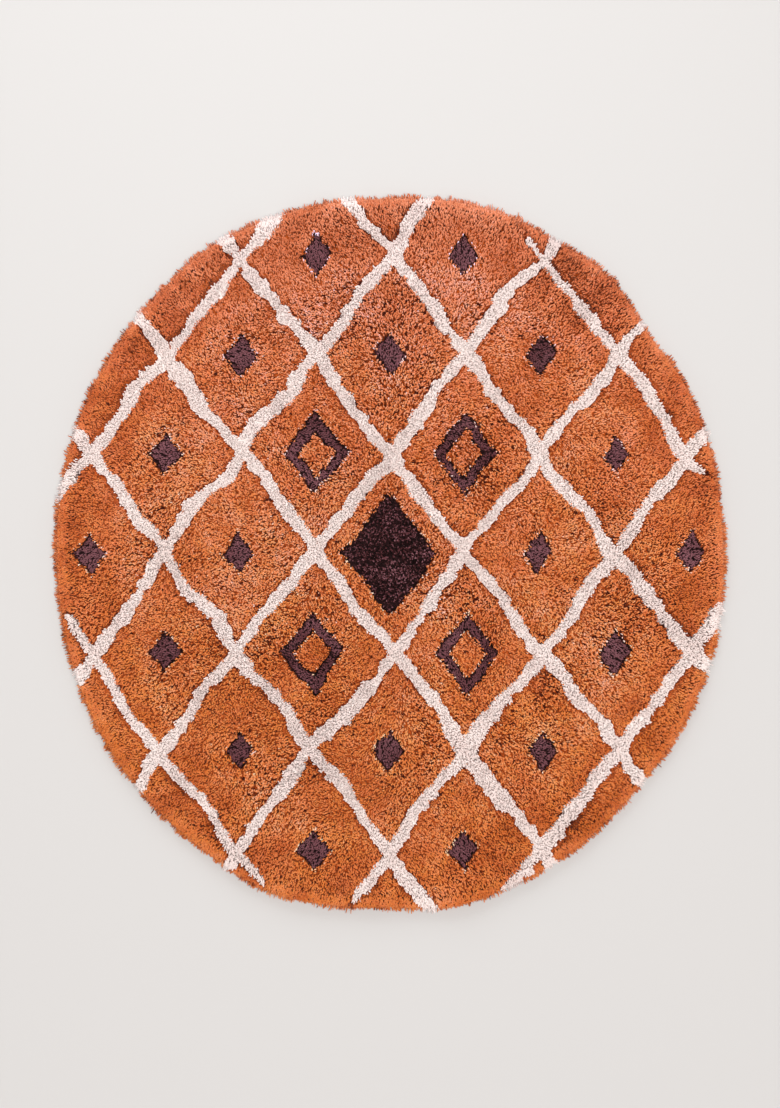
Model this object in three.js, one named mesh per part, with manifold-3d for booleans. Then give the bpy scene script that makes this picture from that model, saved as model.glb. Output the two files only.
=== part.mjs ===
// An oval shag rug, lying flat: one tufted cloth with a thick cut pile.
// Millimetres, +Z up. The origin is on the floor under the middle of the rug,
// and +Y runs along its longer side. The solid is a lumpy slab with locks of pile at its rim.

import * as THREE from "three";
import Module from "manifold-3d";

// The oval that the rim follows. The locks reach further, so the rug is about 1130 by 1200 over all
const OVAL_WIDTH = 1110; // along X
const OVAL_LENGTH = 1182; // along Y
const RUG_HEIGHT = 23; // backing and pile, before the lumps

// Shallow flats and bulges make the rim uneven: the bearing of each one's middle,
// counter-clockwise from +X, how far it spreads to each side, and how far it stands out (mm)
const RIM_BULGES = [
  { bearing: 5, spread: 12, out: -3 },
  { bearing: 40, spread: 7, out: -9 },
  { bearing: 52, spread: 7, out: 8 },
  { bearing: 72, spread: 9, out: 5 },
  { bearing: 92, spread: 8, out: -5 },
  { bearing: 120, spread: 9, out: 6 },
  { bearing: 185, spread: 14, out: -3 },
  { bearing: 250, spread: 8, out: 9 },
  { bearing: 270, spread: 6, out: -4 },
  { bearing: 281, spread: 6, out: 5 },
  { bearing: 315, spread: 12, out: -7 },
];

// The pile rounds down at the rim: how far in from the rim, and the share of the full height there
const RIM_SECTION = [
  { inset: 34, share: 1 },
  { inset: 18, share: 0.94 },
  { inset: 6, share: 0.74 },
  { inset: 0, share: 0 },
];

// The top rises and falls in long low waves: each one's bearing, length, start and rise (mm)
const LUMPS = [
  { bearing: 12, length: 310, start: 0.1, rise: 0.9 },
  { bearing: 74, length: 240, start: 0.55, rise: 0.8 },
  { bearing: 131, length: 175, start: 0.3, rise: 0.7 },
  { bearing: 158, length: 128, start: 0.8, rise: 0.6 },
  { bearing: 47, length: 105, start: 0.42, rise: 0.5 },
];

// Fineness: rings of points from the middle out to where the rim starts to round
const TOP_RINGS = 20;
const SIDES_OF_MIDDLE = 6;

// Locks of pile lie outwards on the floor all round the rim
const LOCK_COUNT = 252;
const LOCK_ROOT_INSET = 9;
const LOCK_SHORTEST_REACH = 5;
const LOCK_LONGEST_REACH = 14;
const LOCK_SWING = 12; // degrees to each side of straight out
const LOCK_CURL = 3; // sideways, at the tip
const LOCK_SPACING_JITTER = 0.16; // of the space between two locks
const LOCK_UNEVENNESS = 0.15; // of a lock's width and height

// A lock has a flat underside and a ridge: how far along it, and its width and height there (mm)
const LOCK_SECTION = [
  { along: 0, width: 11, height: 12 },
  { along: 0.62, width: 10.5, height: 8 },
  { along: 1, width: 4.6, height: 3 },
];

// Each trait of a lock draws its own scattered values
const TRAIT = { place: 1, swing: 2, reach: 3, curl: 4, stoutness: 5 };
const SCATTER = { indexStep: 12.9898, traitStep: 78.233, stretch: 43758.5453 };

const manifold = await Module();
manifold.setup();

// The angle from one bearing to another, the short way round, in degrees
function turnBetween(from, to) {
  return ((((to - from) % 360) + 540) % 360) - 180;
}

// How far the rim is from the middle at a bearing in degrees
function rimRadius(bearing) {
  const angle = THREE.MathUtils.degToRad(bearing);
  const across = OVAL_LENGTH * Math.cos(angle);
  const along = OVAL_WIDTH * Math.sin(angle);
  const oval = (OVAL_WIDTH * OVAL_LENGTH) / Math.hypot(across, along) / 2;
  const bulge = RIM_BULGES.reduce((sum, row) => {
    const turn = turnBetween(row.bearing, bearing) / row.spread;
    return sum + row.out * Math.exp(-turn * turn);
  }, 0);
  return oval + bulge;
}

// The point on the floor at a bearing, a distance from the middle
function floorPoint(bearing, radius) {
  const angle = THREE.MathUtils.degToRad(bearing);
  return new THREE.Vector2(Math.cos(angle), Math.sin(angle)).multiplyScalar(radius);
}

// How much higher or lower the pile stands at a place than its usual height
function lumpAt(place) {
  return LUMPS.reduce((sum, row) => {
    const way = floorPoint(row.bearing, 1);
    return sum + row.rise * Math.sin(2 * Math.PI * (place.dot(way) / row.length + row.start));
  }, 0);
}

// A scattered value from 0 to 1 for a lock and one of its traits, the same at each build
function scatter(index, trait) {
  const value = Math.sin(index * SCATTER.indexStep + trait * SCATTER.traitStep) * SCATTER.stretch;
  return value - Math.floor(value);
}

// The same from -1 to 1
function eitherWay(index, trait) {
  return 2 * scatter(index, trait) - 1;
}

// A closed solid from its points and its triangles' corners
function solidFrom(points, corners) {
  return new manifold.Manifold(
    new manifold.Mesh({
      numProp: 3,
      vertProperties: new Float32Array(points.flatMap((point) => point.toArray())),
      triVerts: new Uint32Array(corners.flat()),
    }),
  );
}

// The number of points in a ring of the top, and where the ring starts in the list
function ringSize(ring) {
  return ring === 0 ? 1 : SIDES_OF_MIDDLE * ring;
}

function ringStart(ring) {
  return ring === 0 ? 0 : 1 + (SIDES_OF_MIDDLE * ring * (ring - 1)) / 2;
}

// Triangles between a ring of the top and the next one out, which has one more point a side
function stitchTop(ring) {
  const corners = [];
  const inner = (index) => ringStart(ring) + (index % ringSize(ring));
  const outer = (index) => ringStart(ring + 1) + (index % ringSize(ring + 1));
  for (let side = 0; side < SIDES_OF_MIDDLE; side += 1) {
    for (let step = 0; step <= ring; step += 1) {
      const near = side * ring + step;
      const far = side * (ring + 1) + step;
      corners.push([inner(near), outer(far), outer(far + 1)]);
      if (step < ring) {
        corners.push([inner(near), outer(far + 1), inner(near + 1)]);
      }
    }
  }
  return corners;
}

// The slab: rings of points over the top, then rings down round the rim to a flat underside
function makeSlab() {
  const points = [];
  const corners = [];
  const count = ringSize(TOP_RINGS);
  const shoulder = RIM_SECTION[0];
  for (let ring = 0; ring <= TOP_RINGS; ring += 1) {
    for (let index = 0; index < ringSize(ring); index += 1) {
      const bearing = (360 * index) / ringSize(ring);
      const reach = (rimRadius(bearing) - shoulder.inset) * (ring / TOP_RINGS);
      const place = floorPoint(bearing, reach);
      points.push(new THREE.Vector3(place.x, place.y, RUG_HEIGHT + lumpAt(place)));
    }
    if (ring < TOP_RINGS) {
      corners.push(...stitchTop(ring));
    }
  }
  let upper = ringStart(TOP_RINGS);
  for (const row of RIM_SECTION.slice(1)) {
    const lower = points.length;
    for (let index = 0; index < count; index += 1) {
      const bearing = (360 * index) / count;
      const place = floorPoint(bearing, rimRadius(bearing) - row.inset);
      points.push(new THREE.Vector3(place.x, place.y, row.share * (RUG_HEIGHT + lumpAt(place))));
      const next = (index + 1) % count;
      corners.push([upper + index, lower + index, lower + next]);
      corners.push([upper + index, lower + next, upper + next]);
    }
    upper = lower;
  }
  const underside = points.length;
  points.push(new THREE.Vector3(0, 0, 0));
  for (let index = 0; index < count; index += 1) {
    corners.push([upper + index, underside, upper + ((index + 1) % count)]);
  }
  return solidFrom(points, corners);
}

// One lock: a three-sided strand from inside the rim to its tip, level on the floor
function makeLock(index) {
  const bearing = (360 / LOCK_COUNT) * (index + LOCK_SPACING_JITTER * eitherWay(index, TRAIT.place));
  const swing = LOCK_SWING * eitherWay(index, TRAIT.swing);
  const reach = THREE.MathUtils.lerp(LOCK_SHORTEST_REACH, LOCK_LONGEST_REACH, scatter(index, TRAIT.reach));
  const curl = LOCK_CURL * eitherWay(index, TRAIT.curl);
  const stoutness = 1 + LOCK_UNEVENNESS * eitherWay(index, TRAIT.stoutness);
  const root = floorPoint(bearing, rimRadius(bearing) - LOCK_ROOT_INSET);
  const outwards = floorPoint(bearing + swing, 1);
  const sideways = floorPoint(bearing + swing + 90, 1);
  const points = LOCK_SECTION.flatMap((row) => {
    const middle = root
      .clone()
      .addScaledVector(outwards, row.along * (LOCK_ROOT_INSET + reach))
      .addScaledVector(sideways, curl * row.along * row.along);
    const left = middle.clone().addScaledVector(sideways, (row.width * stoutness) / 2);
    const right = middle.clone().addScaledVector(sideways, (-row.width * stoutness) / 2);
    return [
      new THREE.Vector3(left.x, left.y, 0),
      new THREE.Vector3(right.x, right.y, 0),
      new THREE.Vector3(middle.x, middle.y, row.height * stoutness),
    ];
  });
  const corners = [[0, 1, 2]];
  for (let section = 0; section < LOCK_SECTION.length - 1; section += 1) {
    for (let side = 0; side < 3; side += 1) {
      const here = section * 3 + side;
      const next = section * 3 + ((side + 1) % 3);
      corners.push([here, next + 3, next]);
      corners.push([here, here + 3, next + 3]);
    }
  }
  const tip = (LOCK_SECTION.length - 1) * 3;
  corners.push([tip, tip + 2, tip + 1]);
  return solidFrom(points, corners);
}

// The joined solid as a geometry, centred over the origin
function geometryOf(solid) {
  const mesh = solid.getMesh();
  const geometry = new THREE.BufferGeometry();
  geometry.setAttribute("position", new THREE.BufferAttribute(mesh.vertProperties, 3));
  geometry.setIndex(new THREE.BufferAttribute(mesh.triVerts, 1));
  geometry.computeBoundingBox();
  const middle = geometry.boundingBox.getCenter(new THREE.Vector3());
  geometry.translate(-middle.x, -middle.y, 0);
  geometry.computeVertexNormals();
  return geometry;
}

// The rug: the slab with every lock's root fused into its rim
function makeRug() {
  let solid = makeSlab();
  for (let index = 0; index < LOCK_COUNT; index += 1) {
    solid = solid.add(makeLock(index));
  }
  const pile = new THREE.MeshStandardMaterial({ color: 0xbe6c42, roughness: 1, metalness: 0 });
  const rug = new THREE.Mesh(geometryOf(solid), pile);
  rug.name = "rug";
  return rug;
}

const group = new THREE.Group();
group.add(makeRug());

export default group;
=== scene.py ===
"""Dresses an oval shag rug: a woven backing, a low bed of pile and the standing ends of its yarn.

Lengths are in metres and angles in radians, unless a name or a comment says otherwise. Places lie on
the floor, x along X and y along Y from the rug's middle.
"""

import logging
import math
from collections.abc import Callable
from dataclasses import dataclass, field
from enum import IntEnum

import bmesh
import bpy
import numpy as np
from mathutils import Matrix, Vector

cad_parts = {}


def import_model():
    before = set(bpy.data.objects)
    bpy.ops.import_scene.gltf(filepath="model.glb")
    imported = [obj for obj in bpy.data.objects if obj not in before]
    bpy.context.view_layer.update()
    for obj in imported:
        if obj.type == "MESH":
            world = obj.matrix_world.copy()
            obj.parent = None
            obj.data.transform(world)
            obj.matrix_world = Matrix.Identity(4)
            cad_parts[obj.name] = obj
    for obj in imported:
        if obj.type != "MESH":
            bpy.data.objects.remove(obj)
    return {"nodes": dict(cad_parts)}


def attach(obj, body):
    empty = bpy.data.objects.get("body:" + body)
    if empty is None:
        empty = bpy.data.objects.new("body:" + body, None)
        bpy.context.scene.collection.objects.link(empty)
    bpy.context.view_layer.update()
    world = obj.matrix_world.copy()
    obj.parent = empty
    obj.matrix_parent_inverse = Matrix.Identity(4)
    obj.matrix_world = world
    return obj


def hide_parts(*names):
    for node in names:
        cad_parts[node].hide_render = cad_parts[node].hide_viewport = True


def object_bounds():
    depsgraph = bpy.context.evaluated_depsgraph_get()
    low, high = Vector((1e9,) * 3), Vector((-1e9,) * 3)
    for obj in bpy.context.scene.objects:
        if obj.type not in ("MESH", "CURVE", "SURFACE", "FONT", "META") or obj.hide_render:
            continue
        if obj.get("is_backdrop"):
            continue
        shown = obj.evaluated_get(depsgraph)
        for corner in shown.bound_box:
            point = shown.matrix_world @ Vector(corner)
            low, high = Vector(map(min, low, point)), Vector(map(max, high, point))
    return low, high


LOG = logging.getLogger("rug")
ROOT_BODY = "root"
RUG_NODE = "rug"
ATLAS_MAP = "OFBake"
TONE_COLUMNS = 32  # Tones in the yarn's map
MILLIMETRE = 0.001
SLOPE_STEP = 0.001  # How far apart a slope is read
SPARE_CELLS = 3  # How many cells more than its reach a smooth field's lattice has
LATTICE_EDGE = 1.001  # How far the field keeps off its lattice's end, in cells
BLEND_STRETCH = 1.4  # Brings a smooth field's blended values back to about -1 to 1
TINY = 1e-9  # Keeps a division off 0
BELOW_ONE = 0.9999  # The most that a tone may be
PILE_SEED = 5
MOTTLE_DETAIL = 3.0
SORTING_WAY = Vector((0.7193, 0.6841, 0.1208))  # No two places lie equally far along it

# The photograph's frame in pixels, and where the rug's middle lies in it
PHOTO_WIDTH = 780
PHOTO_HEIGHT = 1108
PHOTO_MIDDLE = (390.0, 553.0)
METRES_PER_PIXEL = 0.001655

Array = np.ndarray
Count = int | tuple[int, int]
Span = tuple[float, float]
Colour = tuple[float, float, float, float]
Material = bpy.types.Material
Node = bpy.types.Node
Piece = bpy.types.Object
Socket = bpy.types.NodeSocket
Tree = bpy.types.NodeTree

BLACK: Colour = (0.0, 0.0, 0.0, 1.0)
PLAIN: Colour = (1.0, 1.0, 1.0, 1.0)
NOISE_RANGE: Span = (0.3, 0.7)  # Where most of a noise's values lie


def dyed(red: int, green: int, blue: int) -> Colour:
    """Turns a screen colour into the linear one that a shader takes.

    Args:
        red: Red, from 0 to 255.
        green: Green, from 0 to 255.
        blue: Blue, from 0 to 255.

    Returns:
        The linear colour with a full alpha.
    """

    def linear(value: int) -> float:
        """Undoes the screen's curve for one channel."""
        share = value / 255
        return share / 12.92 if share <= 0.04045 else ((share + 0.055) / 1.055) ** 2.4

    return (linear(red), linear(green), linear(blue), 1.0)


def eased(share: Array) -> Array:
    """Gives an s-shaped course from 0 to 1 for a share that is kept between them."""
    kept = np.clip(share, 0.0, 1.0)
    return kept * kept * (3 - 2 * kept)


def headings(angle: Array) -> Array:
    """Gives the level unit vector of each angle."""
    return np.stack([np.cos(angle), np.sin(angle), np.zeros_like(angle)], axis=-1)


def unit(vectors: Array) -> Array:
    """Gives each vector a length of 1."""
    return vectors / (np.linalg.norm(vectors, axis=-1, keepdims=True) + TINY)


def slope(measure: Callable[[Array, Array], Array], x: Array, y: Array) -> Array:
    """Reads how a measure changes over one slope step.

    Args:
        measure: Gives the measure at each place.
        x, y: The places.

    Returns:
        A level vector for each place, with the change along X and along Y.
    """
    here = measure(x, y)
    across = measure(x + SLOPE_STEP, y) - here
    along = measure(x, y + SLOPE_STEP) - here
    return np.stack([across, along, np.zeros_like(x)], axis=-1)


@dataclass(frozen=True)
class SmoothField:
    """A smooth scatter over the floor, the same at each run."""

    pitch: float  # From one rise to the next
    seed: int
    most: float = 1.0  # About how far its values go to each side of 0
    turn: float = 0.7  # The lattice's turn from the axes
    reach: float = 1.0  # How far it goes from the middle

    def at(self, x: Array, y: Array) -> Array:
        """Reads the field.

        Args:
            x, y: The places.

        Returns:
            The field's value at each place.
        """
        across = x * math.cos(self.turn) - y * math.sin(self.turn)
        along = x * math.sin(self.turn) + y * math.cos(self.turn)
        cells = int(2 * self.reach / self.pitch) + SPARE_CELLS
        lattice = np.random.default_rng(self.seed).uniform(-1, 1, (cells, cells))
        column = np.clip((across + self.reach) / self.pitch, 0, cells - LATTICE_EDGE)
        row = np.clip((along + self.reach) / self.pitch, 0, cells - LATTICE_EDGE)
        i = column.astype(int)
        j = row.astype(int)
        u = eased(column - i)
        v = eased(row - j)
        low = lattice[i, j] * (1 - u) + lattice[i + 1, j] * u
        high = lattice[i, j + 1] * (1 - u) + lattice[i + 1, j + 1] * u
        return self.most * ((low * (1 - v) + high * v) * BLEND_STRETCH)


Layers = tuple[SmoothField, ...]


def layered(fields: Layers, x: Array, y: Array, level: float = 0.0) -> Array:
    """Adds smooth fields up, from a level, at each place."""
    return sum((layer.at(x, y) for layer in fields), level)


@dataclass(frozen=True)
class Band:
    """A zone beside a line that fades out away from it."""

    end: float  # How far from the line it ends
    fade: float  # Over how far it fades before that

    def at(self, distance: Array) -> Array:
        """Tells, from 0 to 1, how much each place is in the zone, by its distance from the line."""
        return eased((self.end - distance) / self.fade)


@dataclass(frozen=True)
class Bulge:
    """A shallow flat or bulge of the rim."""

    bearing: float  # Its middle, counter-clockwise from +X, in degrees
    spread: float  # How far it goes to each side, in degrees
    out: float  # How far it stands out


@dataclass(frozen=True)
class Wave:
    """A long low wave of the pile's top."""

    bearing: float  # The way it runs, in degrees
    length: float  # From crest to crest
    start: float  # The share of a wave at the middle of the rug
    rise: float


@dataclass(frozen=True)
class RugForm:
    """The rug's outline and the course of its pile's top, as its solid has them."""

    oval_width: float = 1.110  # Along X
    oval_length: float = 1.182  # Along Y
    height: float = 0.023  # Backing and pile, before the waves
    bulges: tuple[Bulge, ...] = (
        Bulge(5, 12, -0.003),
        Bulge(40, 7, -0.009),
        Bulge(52, 7, 0.008),
        Bulge(72, 9, 0.005),
        Bulge(92, 8, -0.005),
        Bulge(120, 9, 0.006),
        Bulge(185, 14, -0.003),
        Bulge(250, 8, 0.009),
        Bulge(270, 6, -0.004),
        Bulge(281, 6, 0.005),
        Bulge(315, 12, -0.007),
    )
    waves: tuple[Wave, ...] = (
        Wave(12, 0.310, 0.1, 0.0009),
        Wave(74, 0.240, 0.55, 0.0008),
        Wave(131, 0.175, 0.3, 0.0007),
        Wave(158, 0.128, 0.8, 0.0006),
        Wave(47, 0.105, 0.42, 0.0005),
    )
    section_inset: tuple[float, ...] = (0.0, 0.006, 0.018, 0.034)  # In from the rim
    section_share: tuple[float, ...] = (0.0, 0.74, 0.94, 1.0)  # Of the height, at each of them

    def radius(self, bearing: Array) -> Array:
        """Measures the rim.

        Args:
            bearing: Bearings from the middle, in degrees.

        Returns:
            The rim's distance from the middle at each of them.
        """
        angle = np.radians(bearing)
        across = self.oval_length * np.cos(angle)
        along = self.oval_width * np.sin(angle)
        rim = self.oval_width * self.oval_length / np.hypot(across, along) / 2
        for bulge in self.bulges:
            turn = (bearing - bulge.bearing + 180) % 360 - 180
            rim = rim + bulge.out * np.exp(-((turn / bulge.spread) ** 2))
        return rim

    def inset(self, x: Array, y: Array) -> Array:
        """Gives how far each place lies in from the rim."""
        return self.radius(np.degrees(np.arctan2(y, x))) - np.hypot(x, y)

    def waviness(self, x: Array, y: Array) -> Array:
        """Adds up the waves of the pile's top.

        Args:
            x, y: The places.

        Returns:
            How much higher the pile stands at each place than its usual height.
        """
        total = np.zeros_like(x)
        for wave in self.waves:
            angle = math.radians(wave.bearing)
            course = (x * math.cos(angle) + y * math.sin(angle)) / wave.length
            total = total + wave.rise * np.sin(math.tau * (course + wave.start))
        return total

    def top(self, x: Array, y: Array) -> Array:
        """Gives the height of the pile's top at each place, which is 0 past the rim."""
        share = np.interp(self.inset(x, y), self.section_inset, self.section_share)
        return share * (self.height + self.waviness(x, y))


class Yarn(IntEnum):
    """The yarns that are tufted into the backing."""

    RUST = 0
    CREAM = 1
    BROWN = 2


@dataclass(frozen=True)
class TrellisPattern:
    """A hand-drawn lattice of cream lines with dark diamonds in its cells."""

    form: RugForm
    cell_width: float = 0.246  # From corner to corner
    cell_height: float = 0.324
    line_width: float = 0.0196
    line_stray: Layers = (SmoothField(0.085, 11, 0.0075), SmoothField(0.070, 12, 0.0075, turn=0.3))
    unevenness: float = 0.0036
    edge_course: Layers = (SmoothField(0.028, 13, 0.6), SmoothField(0.011, 14, 0.75, turn=0.2))
    ending_share: float = 0.55  # Of the lines, ends before the rim
    stop_short: float = 0.034  # In from the rim
    past_rim: float = 0.05  # Where the others end
    taper_length: float = 0.030
    # What a line's number, its side and its half of the rug add to the draw of its end
    ending_steps: tuple[float, float, float] = (12.9898, 4.137, 37.719)
    ending_folds: float = 7.0
    large_diamond: Span = (0.158, 0.204)  # Width and height
    open_diamond: Span = (0.108, 0.142)
    small_diamond: Span = (0.054, 0.071)
    diamond_line: float = 0.0195
    diamond_stray: Layers = (SmoothField(0.050, 21, 0.004), SmoothField(0.044, 22, 0.004, turn=0.3))
    diamond_edge: SmoothField = SmoothField(0.012, 23, 0.0016)
    rim_clearance: float = 0.045  # The least from the rim to a diamond's middle
    no_diamond: float = 0.2  # The distance given where a cell has none

    def to_cream(self, x: Array, y: Array) -> Array:
        """Measures the way to the cream lines.

        Args:
            x, y: The places.

        Returns:
            The distance from each place to the nearest line, below 0 inside it.
        """
        stray_x, stray_y = (stray.at(x, y) for stray in self.line_stray)
        half = self.line_width / 2 + self.unevenness * layered(self.edge_course, x, y)
        crossing = 1 / math.hypot(1 / self.cell_width, 1 / self.cell_height)
        nearest = np.full_like(x, np.inf)
        for side in (1, -1):
            phase = (x + stray_x) / self.cell_width + side * (y + stray_y) / self.cell_height + 0.5
            line = np.round(phase)
            off = np.abs(phase - line) * crossing
            nearest = np.minimum(nearest, off - half * self.taper(x, y, line, side))
        return nearest

    def taper(self, x: Array, y: Array, line: Array, side: int) -> Array:
        """Narrows the lines that end before the rim.

        Args:
            x, y: The places.
            line: The number of the line that is nearest to each place.
            side: 1 for lines that fall to the right, -1 for those that rise.

        Returns:
            The share of its width that the line has there.
        """
        by_line, by_side, by_half = self.ending_steps
        upper = (y > 0).astype(float)
        draw = np.abs(np.sin(line * by_line + side * by_side + upper * by_half)) * self.ending_folds
        draw = draw - np.floor(draw)
        stop = np.where(draw < self.ending_share, self.stop_short * (0.5 + draw), -self.past_rim)
        return np.sqrt(np.clip((self.form.inset(x, y) - stop) / self.taper_length, 0.0, 1.0))

    def away_from_cream(self, x: Array, y: Array) -> Array:
        """Gives the level unit vector from the nearest cream line's middle to each place."""
        return unit(slope(self.to_cream, x, y))

    def cell(self, x: Array, y: Array) -> tuple[Array, Array]:
        """Finds the cell that holds each place.

        Args:
            x, y: The places.

        Returns:
            The cells' columns and rows, in half cells from the middle.
        """
        first = np.round(x / self.cell_width + y / self.cell_height)
        second = np.round(x / self.cell_width - y / self.cell_height)
        return first + second, first - second

    def to_brown(self, x: Array, y: Array) -> Array:
        """Measures the way to the dark diamonds.

        Args:
            x, y: The places.

        Returns:
            The distance from each place to the nearest dark yarn, below 0 inside it.
        """
        stray_x, stray_y = (way + stray.at(x, y) for way, stray in zip((x, y), self.diamond_stray))
        column, row = self.cell(stray_x, stray_y)
        middle_x = column * self.cell_width / 2
        middle_y = row * self.cell_height / 2
        middle = (column == 0) & (row == 0)
        ringed = (np.abs(column) == 1) & (np.abs(row) == 1)
        width, height = (
            np.select([middle, ringed], [large, opened], small)
            for large, opened, small in zip(self.large_diamond, self.open_diamond, self.small_diamond)
        )
        off = np.abs(stray_x - middle_x) * 2 / width + np.abs(stray_y - middle_y) * 2 / height - 1
        off = off / np.hypot(2 / width, 2 / height)
        half = self.diamond_line / 2
        off = np.where(ringed, np.abs(off + half) - half, off) + self.diamond_edge.at(x, y)
        return np.where(self.form.inset(middle_x, middle_y) > self.rim_clearance, off, self.no_diamond)

    def in_large_diamond(self, x: Array, y: Array) -> Array:
        """Tells which places lie in the cell of the large diamond."""
        column, row = self.cell(x, y)
        return (column == 0) & (row == 0)

    def yarn_at(self, x: Array, y: Array) -> Array:
        """Says which yarn is tufted in.

        Args:
            x, y: The places.

        Returns:
            The Yarn at each place.
        """
        yarn = np.full(x.shape, int(Yarn.RUST))
        yarn[self.to_cream(x, y) < 0] = Yarn.CREAM
        yarn[self.to_brown(x, y) < 0] = Yarn.BROWN
        return yarn


@dataclass(frozen=True)
class Raggedness:
    """How tousled the pile is: areas that lie smooth, and others with breaks between their tufts.

    The breaks are short and dark: their ends sink lower and carry painted shade. They follow the rows in
    the middle, and run outwards near the rim.
    """

    usual: float = 0.5
    least: float = 0.1
    patches: Layers = (SmoothField(0.085, 61, 0.45), SmoothField(0.034, 62, 0.25, turn=0.2))
    row_breaks: SmoothField = SmoothField(0.0028, 82, turn=0.0)
    rim_breaks: SmoothField = SmoothField(0.0028, 83, turn=0.0, reach=2.0)
    row_wave: SmoothField = SmoothField(0.055, 81, 0.006)
    stretch: float = 2.6  # How many times longer a break is than wide
    rim_band: float = 0.110  # In which the breaks run outwards
    turning: float = 0.030  # Over how far they turn
    fewest: float = 0.018  # The chance of a sunken end between breaks
    most: float = 0.60  # What is added to it in a break
    rim_fewer: float = 0.38  # How much less is added near the rim
    edge: float = 0.84  # The value past which a break starts in smooth pile
    tousled_sooner: float = 0.40
    softness: float = 0.25

    def at(self, x: Array, y: Array) -> Array:
        """Gives the raggedness at each place, from the least to 1."""
        return np.clip(layered(self.patches, x, y, self.usual), self.least, 1.0)

    def near_rim(self, form: RugForm, x: Array, y: Array, blend: float) -> Array:
        """Tells, from 0 to 1, which places lie in the rim's band, whose inner edge is blended."""
        return eased((self.rim_band - form.inset(x, y)) / blend + 0.5)

    def breaks(self, form: RugForm, x: Array, y: Array) -> Array:
        """Gives the chance that a yarn end is sunken.

        Args:
            form: The rug's form.
            x, y: The places.

        Returns:
            The chance at each place, from 0 to 1.
        """
        across = self.row_breaks.at(x / self.stretch, y + self.row_wave.at(x, y))
        arc = np.arctan2(y, x) * form.oval_length / 2
        outward = self.rim_breaks.at(np.hypot(x, y) / self.stretch, arc)
        near_rim = self.near_rim(form, x, y, self.turning)
        value = across * (1 - near_rim) + outward * near_rim
        most = self.most - self.rim_fewer * near_rim
        past_edge = value - self.edge + self.tousled_sooner * self.at(x, y)
        return self.fewest + most * eased(past_edge / self.softness)


class Shader:
    """A material or shader group that is put together node by node."""

    def __init__(self, tree: Tree) -> None:
        """Keeps the node tree that the nodes go into."""
        self.tree = tree

    def node(self, kind: str, *sources: object, **settings: object) -> Node:
        """Adds a node.

        Args:
            kind: The node's type.
            *sources: A value or socket for each of its first sockets.
            **settings: Its properties.

        Returns:
            The new node.
        """
        made = self.tree.nodes.new(kind)
        for name, value in settings.items():
            setattr(made, name, value)
        for socket, source in zip(made.inputs, sources):
            self.feed(socket, source)
        return made

    def feed(self, socket: Socket, source: object) -> None:
        """Links a socket to another one, or sets it to a plain value.

        Args:
            socket: The socket that takes it.
            source: The other socket, or the value.
        """
        if isinstance(source, Socket):
            self.tree.links.new(source, socket)
        else:
            socket.default_value = source

    def fill(self, node: Node, **inputs: object) -> Node:
        """Feeds a node's sockets by name.

        Args:
            node: The node.
            **inputs: A value or socket for each name, with _ for a space.

        Returns:
            The same node.
        """
        for name, source in inputs.items():
            self.feed(node.inputs[name.replace("_", " ")], source)
        return node

    def place(self) -> Socket:
        """Gives the piece's own coordinates."""
        return self.node("ShaderNodeTexCoord").outputs["Object"]

    def mark(self, name: str) -> Socket:
        """Gives a measure that is kept at the piece's points."""
        return self.node("ShaderNodeAttribute", attribute_name=name).outputs["Fac"]

    def parts(self, vector: Socket) -> bpy.types.NodeOutputs:
        """Gives a vector's three numbers."""
        return self.node("ShaderNodeSeparateXYZ", vector).outputs

    def vector(self, x: object, y: object, z: object) -> Socket:
        """Joins three numbers into a vector."""
        return self.node("ShaderNodeCombineXYZ", x, y, z).outputs[0]

    def maths(self, operation: str, *sources: object) -> Socket:
        """Adds a Math node and gives its result."""
        return self.node("ShaderNodeMath", *sources, operation=operation).outputs[0]

    def scaled(
        self,
        value: object,
        low: object,
        high: object,
        to_low: object,
        to_high: object,
        course: str = "LINEAR",
    ) -> Socket:
        """Maps a value from one range to another and keeps it inside."""
        bounds = (value, low, high, to_low, to_high)
        return self.node("ShaderNodeMapRange", *bounds, interpolation_type=course).outputs[0]

    def mixed(self, factor: object, first: object, second: object, blend: str = "MIX") -> Socket:
        """Mixes two colours.

        Args:
            factor: The share of the second one.
            first: The first colour.
            second: The second colour.
            blend: How they are mixed.

        Returns:
            The mixed colour.
        """
        made = self.node("ShaderNodeMix", factor, data_type="RGBA", blend_type=blend)
        self.feed(made.inputs[6], first)
        self.feed(made.inputs[7], second)
        return made.outputs[2]

    def ramp(self, value: object, stops: tuple[tuple[float, Colour], ...]) -> Socket:
        """Reads a course of colours.

        Args:
            value: Where to read it.
            stops: The places and colours that it goes through.

        Returns:
            The colour at the value.
        """
        made = self.node("ShaderNodeValToRGB", value)
        elements = made.color_ramp.elements
        while len(elements) < len(stops):
            elements.new(1.0)
        for element, (place, colour) in zip(elements, stops):
            element.position = place
            element.color = colour
        return made.outputs[0]

    def noise(self, vector: object, scale: object, detail: float) -> Socket:
        """Gives a noise between 0 and 1."""
        made = self.fill(self.node("ShaderNodeTexNoise"), Vector=vector, Scale=scale, Detail=detail)
        return made.outputs["Fac"]

    def group(self, tree: Tree, **inputs: object) -> Node:
        """Places a shader group and feeds its sockets by name, with _ for a space."""
        return self.fill(self.node("ShaderNodeGroup", node_tree=tree), **inputs)


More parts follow.
